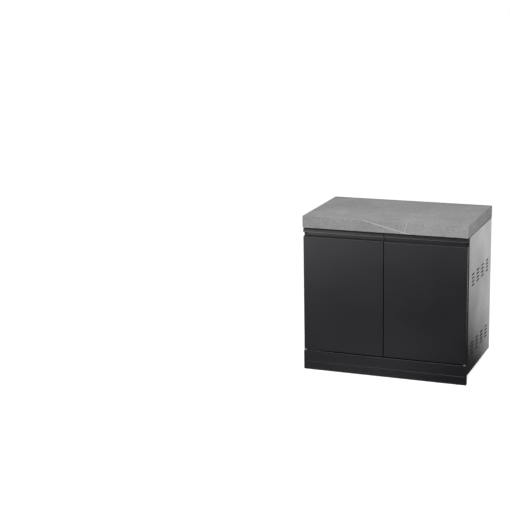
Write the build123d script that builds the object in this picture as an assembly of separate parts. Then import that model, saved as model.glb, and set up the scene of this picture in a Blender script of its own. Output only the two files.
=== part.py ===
from build123d import *
import math
import os

# Two-door outdoor kitchen cabinet: a folded sheet steel carcass and doors under a stone benchtop.
# Millimetres, +Z up, +X to the right, the doors face -Y. The origin is on the floor under the middle.

# Overall size
WIDTH = 975.0
DEPTH = 600.0
HEIGHT = 930.0

# Stone benchtop: a slab with aprons mitred to its edges, on battens and foam tape
STONE = 20.0
EDGE_HEIGHT = 70.0
ARRIS = 1.5
TAPE = 1.5
TAPE_WIDTH = 14.0
BATTEN_WIDTH = 60.0
BATTEN_SPACING = 300.0
BATTEN_COUNT = 3

# Folded sheet of the carcass
SHEET = 1.2
INSIDE_BEND = 0.8
FLANGE = 25.0
FIT = 0.3

# Where the steel stands behind the stone
FACE_SETBACK = 4.0
BACK_SETBACK = 4.0

# Plinth: kickboard, base rail above it, and the runners that carry the feet
FLOOR_GAP = 4.0
KICK_HEIGHT = 50.0
KICK_RETURN = 25.0
BASE_RAIL_HEIGHT = 65.0
RUNNER_SHEET = 2.0
RUNNER_TOP_FLANGE = 40.0

# Rails under the benchtop
TOP_RAIL_DROP = 58.0
FRONT_RAIL_BACK = 35.0
FRONT_RAIL_SETBACK = 2.0
REAR_RAIL_FLANGE = 42.0
RAIL_TAB = 20.0

# Vent slots in the side panels: an upper and a lower group
VENT_LENGTH = 61.0
VENT_HEIGHT = 8.5
VENT_CORNER = 2.5
VENT_COLUMN_COUNT = 4
VENT_ROW_COUNT = 4
VENT_COLUMN_PITCH = 118.0
VENT_ROW_PITCH = 21.0
UPPER_VENTS_DROP = 265.0
LOWER_VENTS_RISE = 70.0

# Shelf
SHELF_RISE = 347.0
SHELF_EDGE = 20.0
SHELF_SIDE_GAP = 3.0
SHELF_FRONT_SETBACK = 45.0
SHELF_BACK_GAP = 3.0
SHELF_BEARING = 20.0
SHELF_RAIL_LEG = 25.0

# Doors
DOOR_THICKNESS = 24.0
DOOR_SHEET = 1.0
DOOR_SIDE_GAP = 3.0
DOOR_MEET_GAP = 4.0
DOOR_TOP_GAP = 3.0
DOOR_FLOOR_GAP = 7.0
LINER_DEPTH = 10.0
SWING_CLEARANCE = 1.1

# Handle profile along the top of each door: a lip over a finger groove
LIP_HEIGHT = 21.0
GROOVE_HEIGHT = 24.0
HANDLE_WALL = 2.0
HANDLE_BEND = 1.0
GROOVE_FLOOR_SETBACK = 4.0

# Pivots: a fixed pin in a nylon bush below, a sprung pin above
PIVOT_INSET = 10.0
PIN_DIAMETER = 6.0
RUNNING_FIT = 0.05
PIN_HEAD_DIAMETER = 11.0
PIN_HEAD_HEIGHT = 2.0
PIN_HEAD_SIDE_COUNT = 16
BUSH_FLANGE_DIAMETER = 13.0
BUSH_STEM_DIAMETER = 9.0
BUSH_STEM_LENGTH = 10.0
PIN_PROUD = 0.8
BUSH_LIFT = 0.2
TIP_CLEARANCE = 0.5
COLLAR_HEIGHT = 2.0
KNOB_HEIGHT = 6.0
SPRING_LENGTH = 16.0
SPRING_WIRE = 0.9
SPRING_DIAMETER = 8.4
SPRING_TURN_COUNT = 4
SPRING_STEP_COUNT = 12
GUIDE_SHEET = 1.5
GUIDE_WIDTH = 12.0
GUIDE_LEG = 14.0
GUIDE_NOSE = 7.0

# Magnetic catches and their strikers, near the meeting edges of the doors
CATCH_OFFSET = 46.0
CATCH_WIDTH = 36.0
CATCH_HEIGHT = 13.0
CATCH_LENGTH = 30.0
CATCH_GAP = 0.3
CATCH_TAIL = 16.0
CATCH_TAIL_HEIGHT = 4.0
MAGNET_WIDTH = 22.0
MAGNET_HEIGHT = 8.0
MAGNET_LENGTH = 10.0
MAGNET_PROUD = 0.6
STRIKER_WIDTH = 34.0
STRIKER_HEIGHT = 12.0
STRIKER_SHEET = 1.0
STRIKER_DROP = 1.0
STRIKER_CORNER = 2.0

# Levelling feet
FOOT_INSET = 60.0
FOOT_MARGIN = 22.0
PAD_DIAMETER = 44.0
PAD_EDGE = 5.0
PAD_HUB_DIAMETER = 20.0
PAD_HUB_TOP = 14.0
PAD_FLOOR = 5.0
PAD_SIDE_COUNT = 24
STUD_DIAMETER = 10.0
STUD_SIDE_COUNT = 12
STUD_TOP = 92.0
STUD_HEX = 14.0
STUD_HEX_HEIGHT = 6.0
NUT_ACROSS_FLATS = 17.0
NUT_HEIGHT = 8.0
STUD_HOLE_CLEARANCE = 0.5
HEX_SIDE_COUNT = 6

# Planes and levels that the pieces share
HALF = WIDTH / 2
FRONT = -DEPTH / 2
BACK = DEPTH / 2
FACE = FRONT + FACE_SETBACK
CARCASS_BACK = BACK - BACK_SETBACK
STONE_UNDERSIDE = HEIGHT - EDGE_HEIGHT
CARCASS_TOP = STONE_UNDERSIDE - TAPE
KICK_TOP = FLOOR_GAP + KICK_HEIGHT
PLINTH_TOP = KICK_TOP + BASE_RAIL_HEIGHT
INSIDE = HALF - SHEET
NEST = INSIDE_BEND + FIT
BEND_OUTSIDE = SHEET + INSIDE_BEND
FLANGE_EDGE = HALF - FLANGE
FLANGE_ROOT = HALF - BEND_OUTSIDE - FIT
BACK_PANEL_FRONT = CARCASS_BACK - 2 * SHEET

DOOR_OUT = HALF - DOOR_SIDE_GAP
DOOR_IN = DOOR_MEET_GAP / 2
DOOR_BACK = FACE + DOOR_THICKNESS
DOOR_BOTTOM = PLINTH_TOP + DOOR_FLOOR_GAP
DOOR_TOP = CARCASS_TOP - SHEET - DOOR_TOP_GAP
LIP_BOTTOM = DOOR_TOP - LIP_HEIGHT
SKIN_TOP = LIP_BOTTOM - GROOVE_HEIGHT - HANDLE_WALL
HANDLE_WALL_FRONT = DOOR_BACK - HANDLE_WALL
PIVOT_X = DOOR_OUT - PIVOT_INSET
PIVOT_Y = FACE + DOOR_THICKNESS / 2

# The door's outer edge sweeps a circle about its pivot, and the carcass front stays behind that circle
SIDE_FRONT = PIVOT_Y + math.hypot(DOOR_OUT - PIVOT_X, DOOR_BACK - PIVOT_Y) + SWING_CLEARANCE
FRONT_RAIL_WEB = SIDE_FRONT + FRONT_RAIL_BACK

PIN_HOLE = PIN_DIAMETER / 2 + RUNNING_FIT
COLLAR_TOP = DOOR_TOP - HANDLE_WALL - FIT
GUIDE_TOP = COLLAR_TOP - COLLAR_HEIGHT - SPRING_LENGTH
CATCH_FACE = DOOR_BACK + STRIKER_SHEET + CATCH_GAP
CATCH_TOP = CARCASS_TOP - SHEET
CATCH_BOTTOM = CATCH_TOP - CATCH_HEIGHT
MAGNET_MIDDLE = DOOR_TOP - STRIKER_DROP - STRIKER_HEIGHT / 2
SHELF_TOP = PLINTH_TOP + SHELF_RISE
SHELF_SEAT = SHELF_TOP - SHELF_EDGE
SHELF_HALF = FLANGE_EDGE - SHELF_SIDE_GAP
RUNNER_WEB = INSIDE - NEST - SHEET - FIT
RUNNER_SEAT = KICK_TOP + SHEET
RUNNER_FRONT = SIDE_FRONT + 2 * SHEET + NEST
RUNNER_BACK = BACK_PANEL_FRONT - SHEET - NEST
FOOT_X = HALF - FOOT_INSET
FOOT_YS = (SIDE_FRONT + FOOT_INSET, CARCASS_BACK - FOOT_INSET)


# Shapes that several pieces share

def block(x, y, z):
    """A box between pairs of low and high coordinates."""
    middle = Pos((x[0] + x[1]) / 2, (y[0] + y[1]) / 2, (z[0] + z[1]) / 2)
    return middle * Box(x[1] - x[0], y[1] - y[0], z[1] - z[0])


def side_of(solid, direction):
    """The flat face of a solid that lies farthest along a direction."""
    return max(solid.faces(), key=lambda face: face.center().dot(Vector(direction)))


def pan(x, y, z, sheet, front, openings):
    """Sheet folded into a tray: a flat front with bent edges, open on the sides named."""
    body = block(x, y, z)
    open_faces = [side_of(body, way) for way in openings]
    open_edges = [edge.center() for face in open_faces for edge in face.edges()]
    bends = [
        edge for edge in side_of(body, front).edges()
        if not any((edge.center() - other).length < FIT for other in open_edges)
    ]
    body = fillet(bends, sheet + INSIDE_BEND)
    return offset(body, amount=-sheet, openings=[side_of(body, way) for way in openings])


def folded(points, sheet, inside_bend, plane, length):
    """A length of sheet bent along the outside line given, with its thickness to the right of the line."""
    outside = FilletPolyline(*points, radius=sheet + inside_bend)
    section = make_face(offset(outside, amount=sheet, side=Side.RIGHT))
    return extrude(plane * section, amount=length)


def drill(at, direction, radius, length):
    """A round cutter or pin from a point along a direction."""
    return extrude(Plane(at, z_dir=direction) * Circle(radius), amount=length)


def pin_hole(x, top, sheet):
    """A cutter for a pivot pin, through the level sheet whose upper face is at the height given."""
    return drill((x, PIVOT_Y, top - 2 * sheet), (0, 0, 1), PIN_HOLE, 3 * sheet)


def prism(radius, sides, at, height):
    """An upright regular prism that stands on a point, with its corners at the radius."""
    return Pos(*at) * extrude(RegularPolygon(radius, sides), amount=height)


def group(solids):
    """Separate like solids in one node."""
    return Compound(children=list(solids))


def left_of(solid):
    """The mirror image of a right-hand piece."""
    return mirror(solid, about=Plane.YZ)


# Benchtop

def benchtop_boards():
    """The stone boards: a built-up block with eased edges, hollow below, cut apart along its mitres."""
    block_out = block((-HALF, HALF), (FRONT, BACK), (STONE_UNDERSIDE, HEIGHT))
    block_out = chamfer(block_out.edges(), ARRIS)
    inner_x = HALF - STONE
    inner_y = BACK - STONE
    hollow = block((-inner_x, inner_x), (-inner_y, inner_y), (0, HEIGHT - STONE))
    lower_outline = Pos(0, 0, HEIGHT - STONE) * Rectangle(2 * inner_x, 2 * inner_y)
    upper_outline = Pos(0, 0, HEIGHT) * Rectangle(WIDTH, DEPTH)
    slab_space = loft([lower_outline, upper_outline])
    rim = block_out - hollow - slab_space
    boards = {"benchtop_slab": block_out & slab_space}
    long_corners = [(-HALF, FRONT), (HALF, FRONT), (inner_x, -inner_y), (-inner_x, -inner_y)]
    short_corners = [(HALF, FRONT), (HALF, BACK), (inner_x, inner_y), (inner_x, -inner_y)]
    front_space = extrude(make_face(Polyline(*long_corners, close=True)), amount=HEIGHT)
    right_space = extrude(make_face(Polyline(*short_corners, close=True)), amount=HEIGHT)
    boards["benchtop_front_apron"] = rim & front_space
    boards["benchtop_rear_apron"] = rim & mirror(front_space, about=Plane.XZ)
    boards["benchtop_right_apron"] = rim & right_space
    boards["benchtop_left_apron"] = rim & mirror(right_space, about=Plane.YZ)
    return boards


def benchtop_battens():
    """Battens that carry the slab between the front and rear rails."""
    reach = BACK - STONE - FIT
    first = -BATTEN_SPACING * (BATTEN_COUNT - 1) / 2
    centres = [first + BATTEN_SPACING * step for step in range(BATTEN_COUNT)]
    half = BATTEN_WIDTH / 2
    battens = [
        block((x - half, x + half), (-reach, reach), (CARCASS_TOP, HEIGHT - STONE)) for x in centres
    ]
    return group(chamfer(batten.edges().filter_by(Axis.Y), ARRIS) for batten in battens)


def bedding_tape():
    """Foam tape between the carcass and the aprons: one strip at each side and one at the rear."""
    level = (CARCASS_TOP, STONE_UNDERSIDE)
    middle = HALF - STONE / 2
    right = block(
        (middle - TAPE_WIDTH / 2, middle + TAPE_WIDTH / 2),
        (SIDE_FRONT + BEND_OUTSIDE, CARCASS_BACK - BEND_OUTSIDE),
        level,
    )
    rear = block(
        (-FLANGE_EDGE, FLANGE_EDGE),
        (BACK - STONE, BACK_PANEL_FRONT - BEND_OUTSIDE),
        level,
    )
    return group([right, left_of(right), rear])


# Carcass

def right_side_panel():
    """Face of a side: sheet with rolled edges and two groups of vent slots."""
    panel = pan(
        (FLANGE_ROOT, HALF), (SIDE_FRONT, CARCASS_BACK), (KICK_TOP, CARCASS_TOP), SHEET,
        front=(1, 0, 0), openings=[(-1, 0, 0)],
    )
    slot = chamfer(Rectangle(VENT_LENGTH, VENT_HEIGHT).vertices(), VENT_CORNER)
    middle = (SIDE_FRONT + CARCASS_BACK) / 2
    for height in (PLINTH_TOP + LOWER_VENTS_RISE, CARCASS_TOP - UPPER_VENTS_DROP):
        wall = Plane((INSIDE - FIT, middle, height), x_dir=(0, 1, 0), z_dir=(1, 0, 0))
        pattern = GridLocations(VENT_COLUMN_PITCH, VENT_ROW_PITCH, VENT_COLUMN_COUNT, VENT_ROW_COUNT)
        slots = Sketch() + [wall * place * slot for place in pattern]
        panel -= extrude(slots, amount=SHEET + 2 * FIT)
    return panel


def right_side_flanges():
    """Flanges welded on behind the rolled edges of a side panel, one along each edge."""
    depth = (FLANGE_EDGE, FLANGE_ROOT)
    length = (SIDE_FRONT, CARCASS_BACK)
    upright = (KICK_TOP + SHEET, CARCASS_TOP - SHEET)
    return group([
        block(depth, (SIDE_FRONT, SIDE_FRONT + SHEET), upright),
        block(depth, (CARCASS_BACK - SHEET, CARCASS_BACK), upright),
        block(depth, length, (KICK_TOP, KICK_TOP + SHEET)),
        block(depth, length, (CARCASS_TOP - SHEET, CARCASS_TOP)),
    ])


def back_panel():
    """Flat sheet inside the rear flanges of the side panels."""
    reach = INSIDE - NEST
    return block(
        (-reach, reach), (BACK_PANEL_FRONT, CARCASS_BACK - SHEET),
        (KICK_TOP + SHEET + NEST, CARCASS_TOP - SHEET - NEST),
    )


def base_panel():
    """Floor of the cabinet: a tray with its flanges turned down."""
    reach = INSIDE - NEST
    return pan(
        (-reach, reach), (SIDE_FRONT + SHEET, BACK_PANEL_FRONT), (PLINTH_TOP - FLANGE, PLINTH_TOP), SHEET,
        front=(0, 0, 1), openings=[(0, 0, -1)],
    )


def front_base_rail():
    """Rail under the doors: a trough open at the back, with a lip that the base panel is fixed to."""
    rail = pan(
        (-HALF, HALF), (FACE, SIDE_FRONT), (KICK_TOP, PLINTH_TOP), SHEET,
        front=(0, -1, 0), openings=[(0, 1, 0)],
    )
    lip_reach = FLANGE_EDGE - FIT
    lip_level = (PLINTH_TOP - FLANGE, PLINTH_TOP)
    rail += block((-lip_reach, lip_reach), (SIDE_FRONT, SIDE_FRONT + SHEET), lip_level)
    for x in (-PIVOT_X, PIVOT_X):
        rail -= pin_hole(x, PLINTH_TOP, SHEET)
    return rail


def kickboard():
    """Kickboard: folded back at the top and at both ends, open below and behind."""
    return pan(
        (-HALF, HALF), (FACE, FACE + KICK_RETURN), (FLOOR_GAP, KICK_TOP), SHEET,
        front=(0, -1, 0), openings=[(0, 1, 0), (0, 0, -1)],
    )


def top_rail(front, web):
    """Channel across the carcass under the stone, open to the front, notched round the side flanges."""
    bottom = CARCASS_TOP - TOP_RAIL_DROP
    outline = [(front, CARCASS_TOP), (web, CARCASS_TOP), (web, bottom), (web - FLANGE, bottom)]
    reach = INSIDE - FIT
    start = Plane((-reach, 0, 0), x_dir=(0, 1, 0), z_dir=(1, 0, 0))
    rail = folded(outline, SHEET, INSIDE_BEND, start, 2 * reach)
    shoulder = CARCASS_TOP - SHEET - NEST
    notch = block((FLANGE_EDGE - FIT, HALF), (SIDE_FRONT - FIT, BACK), (shoulder, HEIGHT))
    overhang = block((DOOR_OUT, HALF), (FRONT, SIDE_FRONT - FIT), (shoulder, HEIGHT))
    tab = block((reach - SHEET, reach), (web - RAIL_TAB, web - SHEET / 2), (bottom + SHEET / 2, shoulder))
    for cut in (notch, overhang):
        rail = rail - cut - left_of(cut)
    return rail + tab + left_of(tab)


def front_top_rail():
    """Front rail: its top flange reaches over the doors and takes their upper pivot pins."""
    rail = top_rail(FACE + FRONT_RAIL_SETBACK, FRONT_RAIL_WEB)
    for x in (-PIVOT_X, PIVOT_X):
        rail -= pin_hole(x, CARCASS_TOP, SHEET)
    return rail


def rear_top_rail():
    """Rear rail, its web against the back panel."""
    return top_rail(BACK_PANEL_FRONT - REAR_RAIL_FLANGE, BACK_PANEL_FRONT)


def right_base_runner():
    """Channel under the base panel that carries two feet."""
    top = PLINTH_TOP - SHEET
    outline = [
        (RUNNER_WEB - RUNNER_TOP_FLANGE, top), (RUNNER_WEB, top),
        (RUNNER_WEB, RUNNER_SEAT), (FOOT_X - FOOT_MARGIN, RUNNER_SEAT),
    ]
    start = Plane((0, RUNNER_BACK, 0), x_dir=(1, 0, 0), z_dir=(0, -1, 0))
    runner = folded(outline, RUNNER_SHEET, INSIDE_BEND, start, RUNNER_BACK - RUNNER_FRONT)
    hole = STUD_DIAMETER / 2 + STUD_HOLE_CLEARANCE
    for y in FOOT_YS:
        runner -= prism(hole, STUD_SIDE_COUNT, (FOOT_X, y, RUNNER_SEAT - FIT), RUNNER_SHEET + 2 * FIT)
    return runner


def shelf():
    """Loose shelf: a tray with its edges turned down."""
    return pan(
        (-SHELF_HALF, SHELF_HALF), (SIDE_FRONT + SHELF_FRONT_SETBACK, BACK_PANEL_FRONT - SHELF_BACK_GAP),
        (SHELF_SEAT, SHELF_TOP), SHEET, front=(0, 0, 1), openings=[(0, 0, -1)],
    )


def right_shelf_rail():
    """Angle on the inside of a side panel that the shelf rests on."""
    outline = [
        (SHELF_HALF - SHELF_BEARING, SHELF_SEAT), (INSIDE, SHELF_SEAT),
        (INSIDE, SHELF_SEAT - SHELF_RAIL_LEG),
    ]
    first = SIDE_FRONT + SHEET + NEST
    last = BACK_PANEL_FRONT - NEST
    start = Plane((0, last, 0), x_dir=(1, 0, 0), z_dir=(0, -1, 0))
    return folded(outline, SHEET, INSIDE_BEND, start, last - first)


# Doors, made for the right-hand side

def door_skin():
    """Outer face of the door, folded back on all four edges."""
    skin = pan(
        (DOOR_IN, DOOR_OUT), (FACE, DOOR_BACK), (DOOR_BOTTOM, SKIN_TOP), DOOR_SHEET,
        front=(0, -1, 0), openings=[(0, 1, 0)],
    )
    stem = BUSH_STEM_DIAMETER / 2 + RUNNING_FIT
    return skin - drill((PIVOT_X, PIVOT_Y, DOOR_BOTTOM - FIT), (0, 0, 1), stem, DOOR_SHEET + 2 * FIT)


def door_liner():
    """Inner face of the door, a shallow tray that nests in the skin."""
    gap = DOOR_SHEET + FIT
    liner = pan(
        (DOOR_IN + gap, DOOR_OUT - gap), (DOOR_BACK - LINER_DEPTH, DOOR_BACK),
        (DOOR_BOTTOM + gap, SKIN_TOP - gap), DOOR_SHEET, front=(0, 1, 0), openings=[(0, -1, 0)],
    )
    stem = BUSH_STEM_DIAMETER / 2 + FIT
    return liner - drill((PIVOT_X, PIVOT_Y, DOOR_BOTTOM), (0, 0, 1), stem, gap + 2 * DOOR_SHEET)


def door_handle():
    """Extruded channel: a lip in front, a finger groove below it, open at both ends."""
    outline = [
        (FACE, LIP_BOTTOM), (FACE, DOOR_TOP), (DOOR_BACK, DOOR_TOP),
        (DOOR_BACK, SKIN_TOP), (FACE + GROOVE_FLOOR_SETBACK, SKIN_TOP),
    ]
    start = Plane((DOOR_IN, 0, 0), x_dir=(0, 1, 0), z_dir=(1, 0, 0))
    handle = folded(outline, HANDLE_WALL, HANDLE_BEND, start, DOOR_OUT - DOOR_IN)
    along = handle.edges().filter_by(Axis.X)
    lip_edges = [edge for edge in along if abs(edge.center().Z - LIP_BOTTOM) < FIT]
    handle = fillet(lip_edges, HANDLE_WALL / 2 - RUNNING_FIT)
    return handle - pin_hole(PIVOT_X, DOOR_TOP, HANDLE_WALL)


def bottom_bush():
    """Nylon bush pressed into the bottom of the door: its flange carries the door on the base rail."""
    bottom = PLINTH_TOP + BUSH_LIFT
    at = (PIVOT_X, PIVOT_Y, bottom)
    flange = drill(at, (0, 0, 1), BUSH_FLANGE_DIAMETER / 2, DOOR_BOTTOM - bottom)
    stem_foot = (PIVOT_X, PIVOT_Y, DOOR_BOTTOM)
    stem = prism(BUSH_STEM_DIAMETER / 2, PIN_HEAD_SIDE_COUNT, stem_foot, BUSH_STEM_LENGTH)
    return flange + stem - drill(at, (0, 0, 1), PIN_HOLE, DOOR_BOTTOM - bottom + BUSH_STEM_LENGTH)


def pin_head(top, height):
    """A head, collar or knob of a pivot pin, below the level given."""
    return prism(PIN_HEAD_DIAMETER / 2, PIN_HEAD_SIDE_COUNT, (PIVOT_X, PIVOT_Y, top - height), height)


def bottom_pivot_pin():
    """Headed pin fixed in the base rail, pointing up into the bush."""
    seat = PLINTH_TOP - SHEET
    top = DOOR_BOTTOM + BUSH_STEM_LENGTH + PIN_PROUD
    shank = drill((PIVOT_X, PIVOT_Y, seat), (0, 0, 1), PIN_DIAMETER / 2, top - seat)
    return pin_head(seat, PIN_HEAD_HEIGHT) + shank


def top_pivot_pin():
    """Sprung pin in the handle: a tip in the top rail, a collar for the spring and a knob to pull."""
    tip = STONE_UNDERSIDE - TIP_CLEARANCE
    knob_top = GUIDE_TOP - GUIDE_SHEET - FIT
    knob = pin_head(knob_top, KNOB_HEIGHT)
    collar = pin_head(COLLAR_TOP, COLLAR_HEIGHT)
    return knob + collar + drill((PIVOT_X, PIVOT_Y, knob_top), (0, 0, 1), PIN_DIAMETER / 2, tip - knob_top)


def pin_guide():
    """Small angle on the handle's back wall: its level leg guides the pin and carries the spring."""
    outline = [
        (PIVOT_Y - GUIDE_NOSE, GUIDE_TOP), (HANDLE_WALL_FRONT, GUIDE_TOP),
        (HANDLE_WALL_FRONT, GUIDE_TOP - GUIDE_LEG),
    ]
    start = Plane((PIVOT_X - GUIDE_WIDTH / 2, 0, 0), x_dir=(0, 1, 0), z_dir=(1, 0, 0))
    guide = folded(outline, GUIDE_SHEET, INSIDE_BEND, start, GUIDE_WIDTH)
    return guide - pin_hole(PIVOT_X, GUIDE_TOP, GUIDE_SHEET)


def pin_spring():
    """Compression spring between the guide and the collar, wound from square wire in straight steps."""
    rise = SPRING_LENGTH - SPRING_WIRE - FIT
    step_count = SPRING_TURN_COUNT * SPRING_STEP_COUNT
    points = []
    for step in range(step_count + 1):
        turn = 2 * math.pi * step / SPRING_STEP_COUNT
        reach = SPRING_DIAMETER / 2
        points.append((reach * math.cos(turn), reach * math.sin(turn), rise * step / step_count))
    path = Polyline(*points)
    wire = Plane(path @ 0, z_dir=path % 0) * Rectangle(SPRING_WIRE, SPRING_WIRE)
    spring = sweep(wire, path=path, transition=Transition.RIGHT)
    return Pos(PIVOT_X, PIVOT_Y, GUIDE_TOP + (SPRING_WIRE + FIT) / 2) * spring


def striker_plate():
    """Steel plate on the back of the handle that the catch holds."""
    half = STRIKER_WIDTH / 2
    plate = block(
        (CATCH_OFFSET - half, CATCH_OFFSET + half), (DOOR_BACK, DOOR_BACK + STRIKER_SHEET),
        (DOOR_TOP - STRIKER_DROP - STRIKER_HEIGHT, DOOR_TOP - STRIKER_DROP),
    )
    return chamfer(plate.edges().filter_by(Axis.Y), STRIKER_CORNER)


# Catches, made for the right-hand side

def catch_space(width, height, front, back):
    """A block centred on the magnet of the right-hand catch."""
    return block(
        (CATCH_OFFSET - width / 2, CATCH_OFFSET + width / 2), (front, back),
        (MAGNET_MIDDLE - height / 2, MAGNET_MIDDLE + height / 2),
    )


def catch_housing():
    """Plastic housing under the top rail, with a pocket for the magnet and a thin tail for its screws."""
    half = CATCH_WIDTH / 2
    back = CATCH_FACE + CATCH_LENGTH
    step = back - CATCH_TAIL
    front = CATCH_FACE + MAGNET_PROUD
    body = block((CATCH_OFFSET - half, CATCH_OFFSET + half), (front, back), (CATCH_BOTTOM, CATCH_TOP))
    body -= block(
        (CATCH_OFFSET - CATCH_WIDTH, CATCH_OFFSET + CATCH_WIDTH), (step, back + FIT),
        (CATCH_BOTTOM - FIT, CATCH_TOP - CATCH_TAIL_HEIGHT),
    )
    body = chamfer(body.edges().filter_by(Axis.Z), ARRIS)
    pocket_back = CATCH_FACE + MAGNET_LENGTH
    return body - catch_space(MAGNET_WIDTH + FIT, MAGNET_HEIGHT + FIT, CATCH_FACE, pocket_back)


def catch_magnet():
    """Magnet block in the housing's pocket, a little proud of it."""
    magnet = catch_space(MAGNET_WIDTH, MAGNET_HEIGHT, CATCH_FACE, CATCH_FACE + MAGNET_LENGTH)
    return chamfer(magnet.faces().sort_by(Axis.Y)[0].edges(), FIT)


# Levelling feet

def foot_pad(x, y):
    """Moulded pad with eased edges, a hub and a blind socket for the stud."""
    disc = prism(PAD_DIAMETER / 2, PAD_SIDE_COUNT, (x, y, 0), PAD_EDGE)
    disc = chamfer(side_of(disc, (0, 0, 1)).edges(), ARRIS)
    hub = prism(PAD_HUB_DIAMETER / 2, PAD_SIDE_COUNT, (x, y, PAD_FLOOR), PAD_HUB_TOP - PAD_FLOOR)
    socket = prism(STUD_DIAMETER / 2 + RUNNING_FIT, STUD_SIDE_COUNT, (x, y, PAD_FLOOR), PAD_HUB_TOP)
    return disc + hub - socket


def foot_stud(x, y):
    """Threaded stud, drawn plain, with a hexagon that a spanner turns."""
    rod = prism(STUD_DIAMETER / 2, STUD_SIDE_COUNT, (x, y, PAD_FLOOR), STUD_TOP - PAD_FLOOR)
    rod = chamfer(side_of(rod, (0, 0, 1)).edges(), ARRIS)
    hexagon = RegularPolygon(STUD_HEX / 2, HEX_SIDE_COUNT, major_radius=False)
    return rod + Pos(x, y, PAD_HUB_TOP) * extrude(hexagon, amount=STUD_HEX_HEIGHT)


def foot_nuts():
    """A weld nut on top of each runner's flange and a lock nut below it."""
    hexagon = RegularPolygon(NUT_ACROSS_FLATS / 2, HEX_SIDE_COUNT, major_radius=False)
    bore = RegularPolygon(STUD_DIAMETER / 2 + RUNNING_FIT, STUD_SIDE_COUNT)
    nut = extrude(hexagon - bore, amount=NUT_HEIGHT)
    levels = (RUNNER_SEAT - NUT_HEIGHT, RUNNER_SEAT + RUNNER_SHEET)
    return group(Pos(x, y, z) * nut for x in (-FOOT_X, FOOT_X) for y in FOOT_YS for z in levels)


# The whole cabinet, as one node for each file

def cabinet_nodes():
    """Every piece by its name."""
    nodes = benchtop_boards()
    nodes["benchtop_battens"] = benchtop_battens()
    nodes["bedding_tape"] = bedding_tape()
    for piece in (back_panel, base_panel, front_base_rail, kickboard, front_top_rail, rear_top_rail, shelf):
        nodes[piece.__name__] = piece()
    pairs = {
        "side_panel": right_side_panel, "side_flanges": right_side_flanges,
        "base_runner": right_base_runner, "shelf_rail": right_shelf_rail,
        "door_skin": door_skin, "door_liner": door_liner, "door_handle": door_handle,
        "bottom_bush": bottom_bush, "bottom_pivot_pin": bottom_pivot_pin, "top_pivot_pin": top_pivot_pin,
        "pin_guide": pin_guide, "pin_spring": pin_spring, "striker_plate": striker_plate,
        "catch_housing": catch_housing, "catch_magnet": catch_magnet,
    }
    for name, piece in pairs.items():
        right = piece()
        nodes["right_" + name] = right
        nodes["left_" + name] = left_of(right)
    for end, y in zip(("front", "rear"), FOOT_YS):
        for side, x in (("left", -FOOT_X), ("right", FOOT_X)):
            nodes[f"{end}_{side}_foot_pad"] = foot_pad(x, y)
            nodes[f"{end}_{side}_foot_stud"] = foot_stud(x, y)
    nodes["foot_nuts"] = foot_nuts()
    return nodes


os.makedirs("parts", exist_ok=True)
for node_name, node_shape in cabinet_nodes().items():
    export_step(node_shape, f"parts/{node_name}.step")
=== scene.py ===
"""Finishes, fixings and studio for a two-door outdoor kitchen cabinet with a stone benchtop."""
import math

import bmesh
import bpy
from mathutils import Euler, Matrix, Vector


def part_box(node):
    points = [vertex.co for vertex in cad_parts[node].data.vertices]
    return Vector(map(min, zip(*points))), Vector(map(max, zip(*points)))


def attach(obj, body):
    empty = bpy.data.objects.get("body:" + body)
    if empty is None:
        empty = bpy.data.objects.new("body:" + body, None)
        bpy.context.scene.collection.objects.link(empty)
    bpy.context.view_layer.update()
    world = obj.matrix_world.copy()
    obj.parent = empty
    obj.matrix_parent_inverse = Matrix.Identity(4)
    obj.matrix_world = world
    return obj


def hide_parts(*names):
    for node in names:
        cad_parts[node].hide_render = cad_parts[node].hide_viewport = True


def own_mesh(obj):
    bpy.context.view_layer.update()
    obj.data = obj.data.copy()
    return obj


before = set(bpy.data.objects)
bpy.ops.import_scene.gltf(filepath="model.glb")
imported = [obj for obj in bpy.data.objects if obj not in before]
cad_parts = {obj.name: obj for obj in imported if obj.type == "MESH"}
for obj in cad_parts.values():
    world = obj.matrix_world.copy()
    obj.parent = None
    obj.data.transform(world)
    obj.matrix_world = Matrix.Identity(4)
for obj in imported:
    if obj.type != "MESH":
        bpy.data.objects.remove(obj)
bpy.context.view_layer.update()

bl_info = {
    "name": "Outdoor Kitchen Cabinet",
    "version": (1, 0, 0),
    "blender": (4, 5, 0),
    "location": "View3D > Sidebar > Cabinet",
    "description": "Finishes, fixings and studio for a two-door cabinet with a stone benchtop",
    "category": "Object",
}

SIDES = ("left", "right")
FOOT_ENDS = ("front", "rear")
MM = 0.001
SHARP_ANGLE = math.radians(35)
SENSOR_WIDTH_MM = 36.0
FLOOR_REACH = 60.0
# Sockets of a Mix node, whose inputs share their names
SHARE, VALUE_A, VALUE_B, COLOUR_A, COLOUR_B = 0, 2, 3, 6, 7
MIXED_COLOUR = 2
# Radians that a Wave texture of scale 1 turns through in one unit
WAVE_RATE = 20


def linear(hex_colour):
    """An sRGB hex colour as linear red, green, blue and alpha."""
    channels = [int(hex_colour[start:start + 2], 16) / 255 for start in (1, 3, 5)]
    return [c / 12.92 if c <= 0.04045 else ((c + 0.055) / 1.055) ** 2.4 for c in channels] + [1.0]


def per_metre(size_mm):
    """The texture scale whose features have the size given, for coordinates in metres."""
    return 1000.0 / size_mm


def colour(name, description, hex_colour):
    """A colour that a user can change."""
    return bpy.props.FloatVectorProperty(
        name=name, description=description, subtype="COLOR", size=4, min=0.0, max=1.0,
        default=linear(hex_colour),
    )


def length(name, description, size_mm):
    """A length that a user can change."""
    return bpy.props.FloatProperty(
        name=name, description=description, unit="LENGTH", min=0.0, default=size_mm * MM,
    )


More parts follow.
